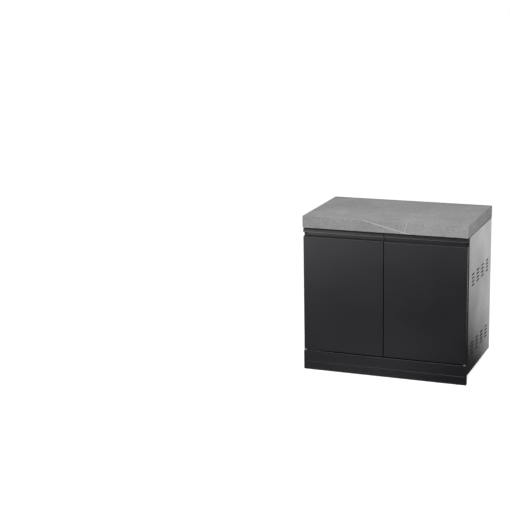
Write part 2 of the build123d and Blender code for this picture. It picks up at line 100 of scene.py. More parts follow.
class CabinetFinish(bpy.types.PropertyGroup):
    """Colours of the cabinet's materials."""
    stone_dark: colour("Stone, dark grains", "Darker grains of the honed stone", "#747474")
    stone_light: colour("Stone, light grains", "Lighter grains of the honed stone", "#9e9e9e")
    stone_vein: colour("Stone vein", "Thin mineral veins in the stone", "#d6d6d4")
    steel_coat: colour("Steel coat", "Powder coat on the carcass and doors", "#161419")
    zinc: colour("Zinc", "Bright zinc plate on pins, nuts and studs", "#c3c7cb")
    black_zinc: colour("Black zinc", "Black zinc plate on screws and pin fittings", "#232426")
    trim: colour("Lip trim", "Black zinc plate on the handle trims, rubbed to a sheen", "#6a6467")
    rubber: colour("Rubber", "Black rubber of the drip noses", "#0b0b0b")
    spring: colour("Spring steel", "Drawn spring wire", "#9a9b9d")
    magnet: colour("Magnet", "Ground faces of the catch magnets", "#6c6d70")
    white_nylon: colour("White nylon", "Moulded bushes under the doors", "#efeee9")
    black_nylon: colour("Black nylon", "Moulded catches and foot pads", "#1b1b1c")
    ply_light: colour("Plywood, light", "Pale veneers of the battens", "#b98f60")
    ply_dark: colour("Plywood, dark", "Darker veneers and grain of the battens", "#7d5836")
    foam: colour("Foam", "Foam tape under the stone", "#2c2c2d")


class CabinetFixings(bpy.types.PropertyGroup):
    """Sizes of the screws, the rivets and what they go through."""
    screw_head: length("Screw head", "Diameter of a screw head", 8.0)
    screw_height: length("Screw height", "Height of a screw head", 2.2)
    rivet_head: length("Rivet head", "Diameter of a rivet head", 7.0)
    rivet_height: length("Rivet height", "Height of a rivet head", 1.2)
    end_margin: length("End margin", "From the end of a row of screws to the panel's corner", 60.0)
    rivet_margin: length("Rivet margin", "From the end rivets to the ends of the handle", 40.0)
    sheet: length("Sheet", "Thickness of the carcass sheet", 1.2)
    lip_height: length("Lip height", "From the top of a handle to the lower edge of its lip", 21.0)


class CabinetStudio(bpy.types.PropertyGroup):
    """Camera and light."""
    eye: bpy.props.FloatVectorProperty(
        name="Camera place", description="Where the camera stands", subtype="TRANSLATION", size=3,
        default=(2.1917, -7.6305, 2.5834),
    )
    yaw: bpy.props.FloatProperty(
        name="Camera turn", description="Turn to the left from looking along Y", subtype="ANGLE",
        default=math.radians(22.112),
    )
    pitch: bpy.props.FloatProperty(
        name="Camera dip", description="Dip below the level", subtype="ANGLE",
        default=math.radians(13.563),
    )
    roll: bpy.props.FloatProperty(
        name="Camera lean", description="Turn about the line of sight", subtype="ANGLE",
        default=math.radians(-1.076),
    )
    focal: bpy.props.FloatProperty(
        name="Focal length", description="Focal length on a 36 mm sensor, in millimetres",
        default=97.46, min=1.0,
    )
    ambient: bpy.props.FloatProperty(
        name="Ambient light", description="Strength of the even light from all round",
        default=0.35, min=0.0,
    )
    key_power: bpy.props.FloatProperty(
        name="Key light", description="Power of the soft box above the front", unit="POWER",
        default=47.0, min=0.0,
    )
    fill_power: bpy.props.FloatProperty(
        name="Fill light", description="Power of the soft box at the front right", unit="POWER",
        default=16.0, min=0.0,
    )


# Materials

def add_node(tree, kind, inputs=None, **settings):
    """Add a node with its settings. Each input is a value to set or an output to link."""
    node = tree.nodes.new(kind)
    for name, value in settings.items():
        setattr(node, name, value)
    for key, value in (inputs or {}).items():
        if isinstance(value, bpy.types.NodeSocket):
            tree.links.new(value, node.inputs[key])
        else:
            node.inputs[key].default_value = value
    return node


def new_material(name):
    """An empty node material, its node tree, and the place on the object that its patterns follow."""
    material = bpy.data.materials.new(name)
    material.use_nodes = True
    tree = material.node_tree
    tree.nodes.clear()
    place = add_node(tree, "ShaderNodeTexCoord").outputs["Object"]
    return material, tree, place


def finish_material(tree, inputs):
    """Close a material with the shader that has the inputs given."""
    shader = add_node(tree, "ShaderNodeBsdfPrincipled", inputs)
    add_node(tree, "ShaderNodeOutputMaterial", {"Surface": shader.outputs[0]})


def honed_stone(name, veins=()):
    """Sintered stone, pressed from fine grit and honed: a close grey grain and broad clouds under a soft
    sheen, with pale veins. A vein is its two ends, its width and its strength."""
    finish = bpy.context.scene.cabinet_finish
    material, tree, place = new_material(name)
    # The real grit is under 1 mm, too fine to show, so the grains are drawn 9 mm across
    grain = add_node(tree, "ShaderNodeTexNoise",
                     {"Vector": place, "Scale": per_metre(9), "Detail": 4.0, "Roughness": 0.65})
    cloud = add_node(tree, "ShaderNodeTexNoise", {"Vector": place, "Scale": per_metre(170), "Detail": 2.0})
    tone = add_node(tree, "ShaderNodeMix",
                    {SHARE: 0.35, VALUE_A: grain.outputs[0], VALUE_B: cloud.outputs[0]}, data_type="FLOAT")
    contrast = add_node(tree, "ShaderNodeMapRange",
                        {"Value": tone.outputs[0], "From Min": 0.32, "From Max": 0.68})
    grey = add_node(tree, "ShaderNodeMix",
                    {SHARE: contrast.outputs[0], COLOUR_A: finish.stone_dark, COLOUR_B: finish.stone_light},
                    data_type="RGBA")
    base = grey.outputs[MIXED_COLOUR]
    if veins:
        drift = add_node(tree, "ShaderNodeTexNoise", {"Vector": place, "Scale": per_metre(45), "Detail": 3.0})
        centred = add_node(tree, "ShaderNodeVectorMath", {0: drift.outputs["Color"], 1: (0.5, 0.5, 0.5)},
                           operation="SUBTRACT")
        wander = add_node(tree, "ShaderNodeVectorMath", {0: centred.outputs[0], "Scale": 9 * MM},
                          operation="SCALE")
        moved = add_node(tree, "ShaderNodeVectorMath", {0: place, 1: wander.outputs[0]}, operation="ADD")
    for start, end, width, strength in veins:
        along = Vector(end) - Vector(start)
        from_start = add_node(tree, "ShaderNodeVectorMath", {0: moved.outputs[0], 1: start},
                              operation="SUBTRACT")
        share = add_node(tree, "ShaderNodeVectorMath",
                         {0: from_start.outputs[0], 1: along / along.length_squared}, operation="DOT_PRODUCT")
        held = add_node(tree, "ShaderNodeClamp", {"Value": share.outputs["Value"]})
        reach = add_node(tree, "ShaderNodeVectorMath", {0: along, "Scale": held.outputs[0]},
                         operation="SCALE")
        away = add_node(tree, "ShaderNodeVectorMath", {0: from_start.outputs[0], 1: reach.outputs[0]},
                        operation="DISTANCE")
        mark = add_node(tree, "ShaderNodeMapRange",
                        {"Value": away.outputs["Value"], "From Min": width, "From Max": 0.25 * width,
                         "To Max": strength}, interpolation_type="SMOOTHSTEP")
        veined = add_node(tree, "ShaderNodeMix",
                          {SHARE: mark.outputs[0], COLOUR_A: base, COLOUR_B: finish.stone_vein},
                          data_type="RGBA")
        base = veined.outputs[MIXED_COLOUR]
    gloss = add_node(tree, "ShaderNodeMapRange", {"Value": grain.outputs[0], "To Min": 0.68, "To Max": 0.8})
    relief = add_node(tree, "ShaderNodeBump",
                      {"Height": grain.outputs[0], "Strength": 0.12, "Distance": 0.4 * MM})
    finish_material(tree, {"Base Color": base, "Roughness": gloss.outputs[0], "IOR": 1.52,
                           "Normal": relief.outputs[0]})
    return material


def powder_coat(name, coat, roughness):
    """Satin powder coat, sprayed as dust and melted in an oven: an even colour with a fine orange peel that
    softens the edges of reflections."""
    material, tree, place = new_material(name)
    # The real peel has waves of about 1.5 mm, drawn 4 mm long so that they show
    peel = add_node(tree, "ShaderNodeTexNoise", {"Vector": place, "Scale": per_metre(4), "Detail": 2.0})
    patch = add_node(tree, "ShaderNodeTexNoise", {"Vector": place, "Scale": per_metre(240), "Detail": 3.0})
    gloss = add_node(tree, "ShaderNodeMapRange",
                     {"Value": patch.outputs[0], "From Min": 0.3, "From Max": 0.7,
                      "To Min": roughness - 0.03, "To Max": roughness + 0.03})
    lighter = [min(1.0, 1.18 * channel) for channel in coat]
    shade = add_node(tree, "ShaderNodeMix", {SHARE: patch.outputs[0], COLOUR_A: coat, COLOUR_B: lighter},
                     data_type="RGBA")
    relief = add_node(tree, "ShaderNodeBump",
                      {"Height": peel.outputs[0], "Strength": 0.008, "Distance": 0.2 * MM})
    finish_material(tree, {"Base Color": shade.outputs[MIXED_COLOUR], "Roughness": gloss.outputs[0],
                           "IOR": 1.5, "Normal": relief.outputs[0]})
    return material


def plated_metal(name, plate, roughness):
    """Electroplated, drawn or ground metal: a cloudy sheen, duller where the skin is thinner."""
    material, tree, place = new_material(name)
    cloud = add_node(tree, "ShaderNodeTexNoise", {"Vector": place, "Scale": per_metre(6), "Detail": 3.0})
    duller = [0.78 * channel for channel in plate[:3]] + [1.0]
    shade = add_node(tree, "ShaderNodeMix", {SHARE: cloud.outputs[0], COLOUR_A: duller, COLOUR_B: plate},
                     data_type="RGBA")
    gloss = add_node(tree, "ShaderNodeMapRange",
                     {"Value": cloud.outputs[0], "To Min": roughness + 0.08, "To Max": roughness - 0.08})
    finish_material(tree, {"Base Color": shade.outputs[MIXED_COLOUR], "Roughness": gloss.outputs[0],
                           "Metallic": 1.0})
    return material


def moulded_nylon(name, resin, roughness):
    """Injection-moulded nylon: an even waxy colour with the fine spark-eroded grain of its mould."""
    material, tree, place = new_material(name)
    # The real mould grain is about 0.3 mm, drawn 1 mm across so that it shows
    grain = add_node(tree, "ShaderNodeTexNoise", {"Vector": place, "Scale": per_metre(1), "Detail": 2.0})
    duller = [0.85 * channel for channel in resin[:3]] + [1.0]
    shade = add_node(tree, "ShaderNodeMix", {SHARE: grain.outputs[0], COLOUR_A: duller, COLOUR_B: resin},
                     data_type="RGBA")
    relief = add_node(tree, "ShaderNodeBump",
                      {"Height": grain.outputs[0], "Strength": 0.1, "Distance": 0.1 * MM})
    finish_material(tree, {"Base Color": shade.outputs[MIXED_COLOUR], "Roughness": roughness, "IOR": 1.53,
                           "Normal": relief.outputs[0]})
    return material


def extruded_rubber(name, rubber):
    """Extruded rubber: matt black with a faint bloom that greys it in patches."""
    material, tree, place = new_material(name)
    bloom = add_node(tree, "ShaderNodeTexNoise", {"Vector": place, "Scale": per_metre(18), "Detail": 3.0})
    greyer = [1.4 * channel for channel in rubber[:3]] + [1.0]
    shade = add_node(tree, "ShaderNodeMix", {SHARE: bloom.outputs[0], COLOUR_A: rubber, COLOUR_B: greyer},
                     data_type="RGBA")
    finish_material(tree, {"Base Color": shade.outputs[MIXED_COLOUR], "Roughness": 0.6, "IOR": 1.52})
    return material


def marine_plywood(name):
    """Oiled plywood: long grain on its faces and the bands of its veneers along its edges."""
    finish = bpy.context.scene.cabinet_finish
    material, tree, place = new_material(name)
    # Grain lines are about 4 mm apart across the batten and run along it
    stretched = add_node(tree, "ShaderNodeMapping", {"Vector": place, "Scale": (1.0, 0.03, 1.0)})
    grain = add_node(tree, "ShaderNodeTexNoise",
                     {"Vector": stretched.outputs[0], "Scale": per_metre(4), "Detail": 5.0, "Roughness": 0.7})
    # Veneers are 1.6 mm thick, so a pair of bands repeats every 3.2 mm
    bands = add_node(tree, "ShaderNodeTexWave",
                     {"Vector": place, "Scale": per_metre(3.2) * 2 * math.pi / WAVE_RATE, "Distortion": 0.0},
                     wave_type="BANDS", bands_direction="Z")
    tone = add_node(tree, "ShaderNodeMath", {0: grain.outputs[0], 1: bands.outputs[1]}, operation="MULTIPLY")
    shade = add_node(tree, "ShaderNodeMix",
                     {SHARE: tone.outputs[0], COLOUR_A: finish.ply_light, COLOUR_B: finish.ply_dark},
                     data_type="RGBA")
    relief = add_node(tree, "ShaderNodeBump",
                      {"Height": grain.outputs[0], "Strength": 0.2, "Distance": 0.3 * MM})
    finish_material(tree, {"Base Color": shade.outputs[MIXED_COLOUR], "Roughness": 0.55,
                           "Normal": relief.outputs[0]})
    return material


def foam_tape(name):
    """Closed-cell foam: matt, with the pinholes of its cut cells."""
    foam = bpy.context.scene.cabinet_finish.foam
    material, tree, place = new_material(name)
    # Cells are about 0.5 mm, drawn 1.2 mm across so that they show
    cells = add_node(tree, "ShaderNodeTexVoronoi", {"Vector": place, "Scale": per_metre(1.2)})
    darker = [0.5 * channel for channel in foam[:3]] + [1.0]
    shade = add_node(tree, "ShaderNodeMix", {SHARE: cells.outputs[0], COLOUR_A: foam, COLOUR_B: darker},
                     data_type="RGBA")
    relief = add_node(tree, "ShaderNodeBump",
                      {"Height": cells.outputs[0], "Strength": 0.3, "Distance": 0.3 * MM})
    finish_material(tree, {"Base Color": shade.outputs[MIXED_COLOUR], "Roughness": 0.9,
                           "Normal": relief.outputs[0]})
    return material


def background_rays(tree):
    """1 for the rays that show the background, from the camera, a reflection or glass, and 0 for the rest."""
    path = add_node(tree, "ShaderNodeLightPath")
    seen = add_node(tree, "ShaderNodeMath",
                    {0: path.outputs["Is Camera Ray"], 1: path.outputs["Is Glossy Ray"]}, operation="MAXIMUM")
    return add_node(tree, "ShaderNodeMath", {0: seen.outputs[0], 1: path.outputs["Is Transmission Ray"]},
                    operation="MAXIMUM").outputs[0]


def dress(material, *nodes):
    """Give CAD nodes a material."""
    for name in nodes:
        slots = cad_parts[name].data.materials
        slots.clear()
        slots.append(material)


def paired(*pieces):
    """The names of left and right pieces."""
    return [f"{side}_{piece}" for side in SIDES for piece in pieces]


# Shapes of small pieces

def spread(first, last, count):
    """Evenly spaced places, both ends included."""
    return [first + (last - first) * step / (count - 1) for step in range(count)]


def bridged(name, loops, closed=False):
    """A mesh skinned over loops of points, capped at both ends unless it closes on itself."""
    shape = bmesh.new()
    rings = [[shape.verts.new(point) for point in loop] for loop in loops]
    for ring, following in zip(rings, rings[1:] + rings[:1] if closed else rings[1:]):
        for step in range(len(ring)):
            after = (step + 1) % len(ring)
            shape.faces.new((ring[step], ring[after], following[after], following[step]))
    if not closed:
        shape.faces.new(rings[0])
        shape.faces.new(rings[-1])
    bmesh.ops.recalc_face_normals(shape, faces=shape.faces)
    mesh = bpy.data.meshes.new(name)
    shape.to_mesh(mesh)
    shape.free()
    mesh.shade_smooth()
    mesh.set_sharp_from_angle(angle=SHARP_ANGLE)
    return mesh


def turned(name, profile, bored=False, segments=48):
    """A mesh turned about Z from a profile of radii and levels, from its lower end out, up and in."""
    turns = [2 * math.pi * step / segments for step in range(segments)]
    loops = [[(reach * math.cos(turn), reach * math.sin(turn), level) for turn in turns]
             for reach, level in profile]
    return bridged(name, loops, bored)


def cut_thread(mesh, low, high, pitch, depth):
    """Press a helical thread into a turned mesh between two levels."""
    for vertex in mesh.vertices:
        x, y, level = vertex.co
        if low <= level <= high:
            phase = (level / pitch - math.atan2(y, x) / (2 * math.pi)) % 1.0
            share = 1 - depth * abs(2 * phase - 1) / math.hypot(x, y)
            vertex.co.x = x * share
            vertex.co.y = y * share


def coil(name, radius, wire, height, turn_count, steps_per_turn=24, wire_sides=10):
    """A compression spring of round wire that stands on the origin, with its end turns closed up."""
    step_count = steps_per_turn * turn_count
    round_wire = [2 * math.pi * side / wire_sides for side in range(wire_sides)]
    up = Vector((0, 0, 1))
    loops = []
    for step in range(step_count + 1):
        share = step / step_count
        turn = 2 * math.pi * step / steps_per_turn
        outward = Vector((math.cos(turn), math.sin(turn), 0))
        middle = outward * radius + up * (wire / 2 + (height - wire) * share * share * (3 - 2 * share))
        loops.append([middle + (outward * math.cos(side) + up * math.sin(side)) * wire / 2
                      for side in round_wire])
    return bridged(name, loops)


def domed_head(diameter, height, recess):
    """A turned head that sits on its origin and points up Z: a skirt, a dome and an optional cross recess."""
    radius = diameter / 2
    skirt = ((1.0, 0.0), (1.0, 0.45))
    dome = ((0.93, 0.72), (0.75, 0.9), (0.5, 1.0), (0.42, 1.0), (0.3, 1.0), (0.14, 1.0))
    mesh = turned("head", [(out * radius, up * height) for out, up in skirt + dome], segments=32)
    half_slot, slot_reach = 0.14 * radius, 0.45 * radius
    top, recess_floor = 0.95 * height, 0.55 * height
    for vertex in mesh.vertices:
        x, y, level = vertex.co
        in_cross = min(abs(x), abs(y)) < half_slot and math.hypot(x, y) < slot_reach
        if recess and in_cross and level > top:
            vertex.co.z = recess_floor
    return mesh


def joined(name, placed):
    """One mesh from meshes, each with its own placing."""
    shape = bmesh.new()
    for mesh, placing in placed:
        first = len(shape.verts)
        shape.from_mesh(mesh)
        shape.verts.ensure_lookup_table()
        bmesh.ops.transform(shape, matrix=placing, verts=shape.verts[first:])
    whole = bpy.data.meshes.new(name)
    shape.to_mesh(whole)
    shape.free()
    return whole


def add_piece(name, placed, material, body):
    """A piece made of placed meshes that rides on a body and wears the material given."""
    mesh = joined(name, placed)
    mesh.materials.append(material)
    piece = bpy.data.objects.new(name, mesh)
    bpy.context.scene.collection.objects.link(piece)
    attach(piece, body)
    return piece


def add_heads(name, head, seats, direction, material, body):
    """Copies of a screw or rivet head at the seats given, pointing one way, as one piece."""
    turn = Vector((0, 0, 1)).rotation_difference(Vector(direction)).to_matrix().to_4x4()
    add_piece(name, [(head, Matrix.Translation(seat) @ turn) for seat in seats], material, body)


def stand_on(node):
    """The placing that stands a turned piece where a CAD node stands."""
    low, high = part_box(node)
    return Matrix.Translation(((low.x + high.x) / 2, (low.y + high.y) / 2, low.z))


def in_metres(profile):
    """A profile given in millimetres, in metres."""
    return [(reach * MM, level * MM) for reach, level in profile]


class CABINET_OT_dress_benchtop(bpy.types.Operator):
    """Finish the stone boards, the battens and the foam tape"""
    bl_idname = "cabinet.dress_benchtop"
    bl_label = "Dress Benchtop"

    def execute(self, context):
        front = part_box("benchtop_front_apron")[0].y
        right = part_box("benchtop_right_apron")[1].x
        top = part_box("benchtop_slab")[1].z
        front_veins = [
            ((-0.165, front, top + 6 * MM), (0.036, front, 0.8885), 3.0 * MM, 0.6),
            ((0.036, front, 0.8885), (0.113, front, 0.8685), 3.0 * MM, 0.6),
            ((0.113, front, 0.8685), (0.152, front, 0.8620), 2.8 * MM, 0.5),
            ((0.142, front, top), (0.132, front, 0.9048), 2.4 * MM, 0.5),
            ((0.132, front, 0.9048), (0.120, front, 0.8700), 2.4 * MM, 0.5),
        ]
        side_veins = [((right, -0.223, 0.9227), (right, -0.094, 0.8775), 2.4 * MM, 0.3)]
        dress(honed_stone("honed stone"), "benchtop_slab", "benchtop_rear_apron", "benchtop_left_apron")
        dress(honed_stone("honed stone, front veins", front_veins), "benchtop_front_apron")
        dress(honed_stone("honed stone, side vein", side_veins), "benchtop_right_apron")
        dress(marine_plywood("oiled marine plywood"), "benchtop_battens")
        dress(foam_tape("closed-cell foam"), "bedding_tape")
        return {"FINISHED"}


class CABINET_OT_dress_carcass(bpy.types.Operator):
    """Finish the folded sheet of the carcass"""
    bl_idname = "cabinet.dress_carcass"
    bl_label = "Dress Carcass"

    def execute(self, context):
        coat = powder_coat("satin black powder coat, carcass", context.scene.cabinet_finish.steel_coat, 0.28)
        dress(coat, "back_panel", "base_panel", "front_base_rail", "kickboard", "front_top_rail",
              "rear_top_rail", "shelf", *paired("side_panel", "side_flanges", "base_runner", "shelf_rail"))
        return {"FINISHED"}


class CABINET_OT_dress_doors(bpy.types.Operator):
    """Finish the doors and their handle profiles"""
    bl_idname = "cabinet.dress_doors"
    bl_label = "Dress Doors"

    def execute(self, context):
        finish = context.scene.cabinet_finish
        dress(powder_coat("satin black powder coat, doors", finish.steel_coat, 0.32),
              *paired("door_skin", "door_liner"))
        dress(powder_coat("satin black powder coat, handles", finish.steel_coat, 0.26),
              *paired("door_handle"))
        return {"FINISHED"}


class CABINET_OT_dress_fittings(bpy.types.Operator):
    """Finish the catches, the pin guides and the nuts"""
    bl_idname = "cabinet.dress_fittings"
    bl_label = "Dress Fittings"

    def execute(self, context):
        finish = context.scene.cabinet_finish
        dress(plated_metal("bright zinc plate", finish.zinc, 0.3), "foot_nuts", *paired("striker_plate"))
        dress(plated_metal("black zinc plate", finish.black_zinc, 0.4), *paired("pin_guide"))
        dress(plated_metal("ground magnet steel", finish.magnet, 0.45), *paired("catch_magnet"))
        dress(moulded_nylon("black moulded nylon", finish.black_nylon, 0.5), *paired("catch_housing"))
        return {"FINISHED"}


class CABINET_OT_turn_pivots(bpy.types.Operator):
    """Turn the pivot pins and bushes and wind the springs"""
    bl_idname = "cabinet.turn_pivots"
    bl_label = "Turn Pivots"

    # Radii and levels in millimetres from the foot of each piece
    bush = ((3.05, 0), (6.1, 0), (6.5, 0.4), (6.5, 6.4), (6.1, 6.8), (4.5, 6.8), (4.5, 16.4), (4.1, 16.8),
            (3.05, 16.8))
    lower_pin = ((5.1, 0), (5.5, 0.4), (5.5, 2), (3, 2), (3, 20.3), (2.3, 21))
    upper_pin = ((4.7, 0), (5.5, 0.8), (5.5, 2), (5.1, 2.3), (5.1, 3.7), (5.5, 4), (5.5, 5.4), (4.9, 6),
                 (3, 6), (3, 23.8), (5.5, 23.8), (5.5, 25.8), (3, 25.8), (3, 32.4), (2.1, 33.3))

    def execute(self, context):
        finish = context.scene.cabinet_finish
        nylon = moulded_nylon("natural moulded nylon", finish.white_nylon, 0.42)
        zinc = plated_metal("bright zinc plate, pins", finish.zinc, 0.3)
        black_zinc = plated_metal("black zinc plate, pins", finish.black_zinc, 0.4)
        wire = plated_metal("drawn spring wire", finish.spring, 0.3)
        bush = turned("bush", in_metres(self.bush), bored=True)
        lower_pin = turned("lower pin", in_metres(self.lower_pin))
        upper_pin = turned("upper pin", in_metres(self.upper_pin))
        spring = coil("spring", radius=4.2 * MM, wire=0.9 * MM, height=16 * MM, turn_count=6)
        for side in SIDES:
            for node, mesh, material, body, slot in (
                ("bottom_bush", bush, nylon, f"{side}_door", "white_nylon"),
                ("bottom_pivot_pin", lower_pin, zinc, "carcass", "zinc_steel"),
                ("top_pivot_pin", upper_pin, black_zinc, f"{side}_top_pin", "black_zinc"),
                ("pin_spring", spring, wire, f"{side}_door", "spring_steel"),
            ):
                stands_for = f"{side}_{node}"
                placing = stand_on(stands_for)
                piece = add_piece(f"{stands_for}_round", [(mesh, placing)], material, body)
                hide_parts(stands_for)
                if mesh == spring:
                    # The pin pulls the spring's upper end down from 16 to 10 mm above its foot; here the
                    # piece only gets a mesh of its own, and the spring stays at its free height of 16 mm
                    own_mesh(piece)
        return {"FINISHED"}


class CABINET_OT_turn_feet(bpy.types.Operator):
    """Mould the pads of the levelling feet and cut the threads of their studs"""
    bl_idname = "cabinet.turn_feet"
    bl_label = "Turn Feet"

    # Radii and levels in millimetres from the foot of each piece
    pad = ((0.5, 0), (20.8, 0), (21.7, 0.5), (22, 1.4), (22, 3.4), (21.6, 4.5), (20.6, 5), (12.6, 6.3),
           (10.8, 7.4), (10, 9.2), (10, 12.9), (9.3, 14), (5.15, 14), (5.15, 5.3), (0.5, 5.3))
    hexagon = ((7.2, 9), (8.08, 9.6), (8.08, 14.4), (7.2, 15))
    shank = ((4.2, 0.4), (4.9, 1.1), (4.9, 15))
    tip = ((4.1, 87),)
    thread_radius = 5.0
    thread_ends = 15.5, 86

    def execute(self, context):
        finish = context.scene.cabinet_finish
        nylon = moulded_nylon("black moulded nylon, feet", finish.black_nylon, 0.5)
        zinc = plated_metal("bright zinc plate, studs", finish.zinc, 0.3)
        pad = turned("pad", in_metres(self.pad))
        # An M10 thread: pitch 1.5 mm, drawn with four rings to a turn
        low, high = (level * MM for level in self.thread_ends)
        rings = [(self.thread_radius * MM, level) for level in spread(low, high, count=189)]
        rod = turned("rod", in_metres(self.shank) + rings + in_metres(self.tip), segments=24)
        cut_thread(rod, low, high, pitch=1.5 * MM, depth=0.8 * MM)
        hexagon = turned("hexagon", in_metres(self.hexagon), segments=6)
        for end in FOOT_ENDS:
            for side in SIDES:
                foot = f"{end}_{side}_foot"
                for node, meshes, material, slot in (("pad", [pad], nylon, "black_nylon"),
                                                     ("stud", [rod, hexagon], zinc, "zinc_steel")):
                    placing = stand_on(f"{foot}_{node}")
                    placed = [(mesh, placing) for mesh in meshes]
                    piece = add_piece(f"{foot}_{node}_round", placed, material, foot)
                    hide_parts(f"{foot}_{node}")
        return {"FINISHED"}


class CABINET_OT_trim_handles(bpy.types.Operator):
    """Clip a folded trim over the edge of each handle's lip and press a rubber drip nose over its top"""
    bl_idname = "cabinet.trim_handles"
    bl_label = "Trim Handles"

    # Places behind the handle's face and above the edge that is covered, in millimetres, round each section
    trim = ((-0.6, 4.2), (-0.6, 0.8), (-0.6, 0.5), (-0.35, -0.1), (0.15, -0.5), (1.0, -0.6), (1.85, -0.5),
            (2.35, -0.1), (2.6, 0.5), (2.6, 3.5), (2.03, 3.5), (2.03, -0.03), (-0.03, -0.03), (-0.03, 4.2))
    nose = ((-2.8, 0.3), (-2.6, -0.2), (-0.5, -3.7), (-0.03, -3.7), (-0.03, 0.03), (7.0, 0.03), (7.0, 0.5),
            (-2.6, 0.5))
    trim_inset = 0.5
    nose_inset = 2

    def run(self, name, section, edge, inset, material, side, slot):
        """Run a section along the front of a handle."""
        low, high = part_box(f"{side}_door_handle")
        ends = low.x + inset, high.x - inset
        loops = [[(x, low.y + back * MM, edge + up * MM) for back, up in section] for x in ends]
        add_piece(name, [(bridged(name, loops), Matrix())], material, f"{side}_door")

    def execute(self, context):
        finish = context.scene.cabinet_finish
        plate = plated_metal("black zinc plate, lip trims", finish.trim, 0.3)
        rubber = extruded_rubber("black extruded rubber", finish.rubber)
        lip_height = context.scene.cabinet_fixings.lip_height
        for side in SIDES:
            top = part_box(f"{side}_door_handle")[1].z
            self.run(f"{side}_lip_trim", self.trim, top - lip_height, self.trim_inset * MM, plate, side,
                     "black_zinc")
            self.run(f"{side}_drip_nose", self.nose, top, self.nose_inset * MM, rubber, side, "foam_tape")
        return {"FINISHED"}


class CABINET_OT_add_screws(bpy.types.Operator):
    """Add the heads of the screws that hold the back panel, the catches, the runners and the kickboard"""
    bl_idname = "cabinet.add_screws"
    bl_label = "Add Screws"

    # In millimetres: how far the kickboard's screws stand behind its face, and where the screws of a catch
    # stand in from the back, below the top and either side of the middle of its housing
    kickboard_inset = 12.5
    catch_inset, catch_drop = 8, 4
    catch_steps = -10, 10

    def execute(self, context):
        fixings = context.scene.cabinet_fixings
        material = plated_metal("black zinc plate, screws", context.scene.cabinet_finish.black_zinc, 0.38)
        head = domed_head(fixings.screw_head, fixings.screw_height, recess=True)
        low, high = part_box("right_side_flanges")
        across = (low.x + high.x) / 2
        levels = spread(low.z + fixings.end_margin, high.z - fixings.end_margin, count=5)
        seats = [(side * across, high.y, level) for side in (-1, 1) for level in levels]
        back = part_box("back_panel")[1].y
        rows = [sum(corner.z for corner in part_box(node)) / 2 for node in ("base_panel", "rear_top_rail")]
        reach = low.x - fixings.end_margin
        seats += [(x, back, level) for x in spread(-reach, reach, count=3) for level in rows]
        add_heads("back_panel_screws", head, seats, (0, 1, 0), material, "carcass")
        ends = low.y + fixings.end_margin, high.y - fixings.end_margin
        seats = [(side * across, y, low.z) for side in (-1, 1) for y in spread(*ends, count=4)]
        add_heads("runner_screws", head, seats, (0, 0, -1), material, "carcass")
        low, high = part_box("kickboard")
        row = low.y + self.kickboard_inset * MM, high.z - fixings.sheet
        seats = [(x, *row) for x in spread(-reach, reach, count=4)]
        add_heads("kickboard_screws", head, seats, (0, 0, -1), material, "carcass")
        seats = []
        for side in SIDES:
            low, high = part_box(f"{side}_catch_housing")
            middle = (low.x + high.x) / 2
            row = high.y - self.catch_inset * MM, high.z - self.catch_drop * MM
            seats += [(middle + step * MM, *row) for step in self.catch_steps]
        add_heads("catch_screws", head, seats, (0, 0, -1), material, "carcass")
        return {"FINISHED"}


class CABINET_OT_add_rivets(bpy.types.Operator):
    """Add the rivets that hold the handle profiles and the pin guides to the doors"""
    bl_idname = "cabinet.add_rivets"
    bl_label = "Add Rivets"

    # In millimetres: how far the groove's floor starts behind the door's face, the thickness of the handle
    # and of the guide, and how far the guide's rivet stands above its lower edge
    setback = 4
    handle_wall = 2
    guide_sheet = 1.5
    guide_rise = 4.7

    def execute(self, context):
        fixings = context.scene.cabinet_fixings
        material = plated_metal("black zinc plate, rivets", context.scene.cabinet_finish.black_zinc, 0.4)
        head = domed_head(fixings.rivet_head, fixings.rivet_height, recess=False)
        for side in SIDES:
            skin_low, skin_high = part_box(f"{side}_door_skin")
            liner_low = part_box(f"{side}_door_liner")[0]
            seat_y = (skin_low.y + self.setback * MM + liner_low.y) / 2
            seat_z = skin_high.z + self.handle_wall * MM
            places = spread(skin_low.x + fixings.rivet_margin, skin_high.x - fixings.rivet_margin, count=4)
            seats = [(x, seat_y, seat_z) for x in places]
            add_heads(f"{side}_handle_rivets", head, seats, (0, 0, 1), material, f"{side}_door")
            low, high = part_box(f"{side}_pin_guide")
            seat = ((low.x + high.x) / 2, high.y - self.guide_sheet * MM, low.z + self.guide_rise * MM)
            add_heads(f"{side}_guide_rivet", head, [seat], (0, -1, 0), material, f"{side}_door")
        return {"FINISHED"}


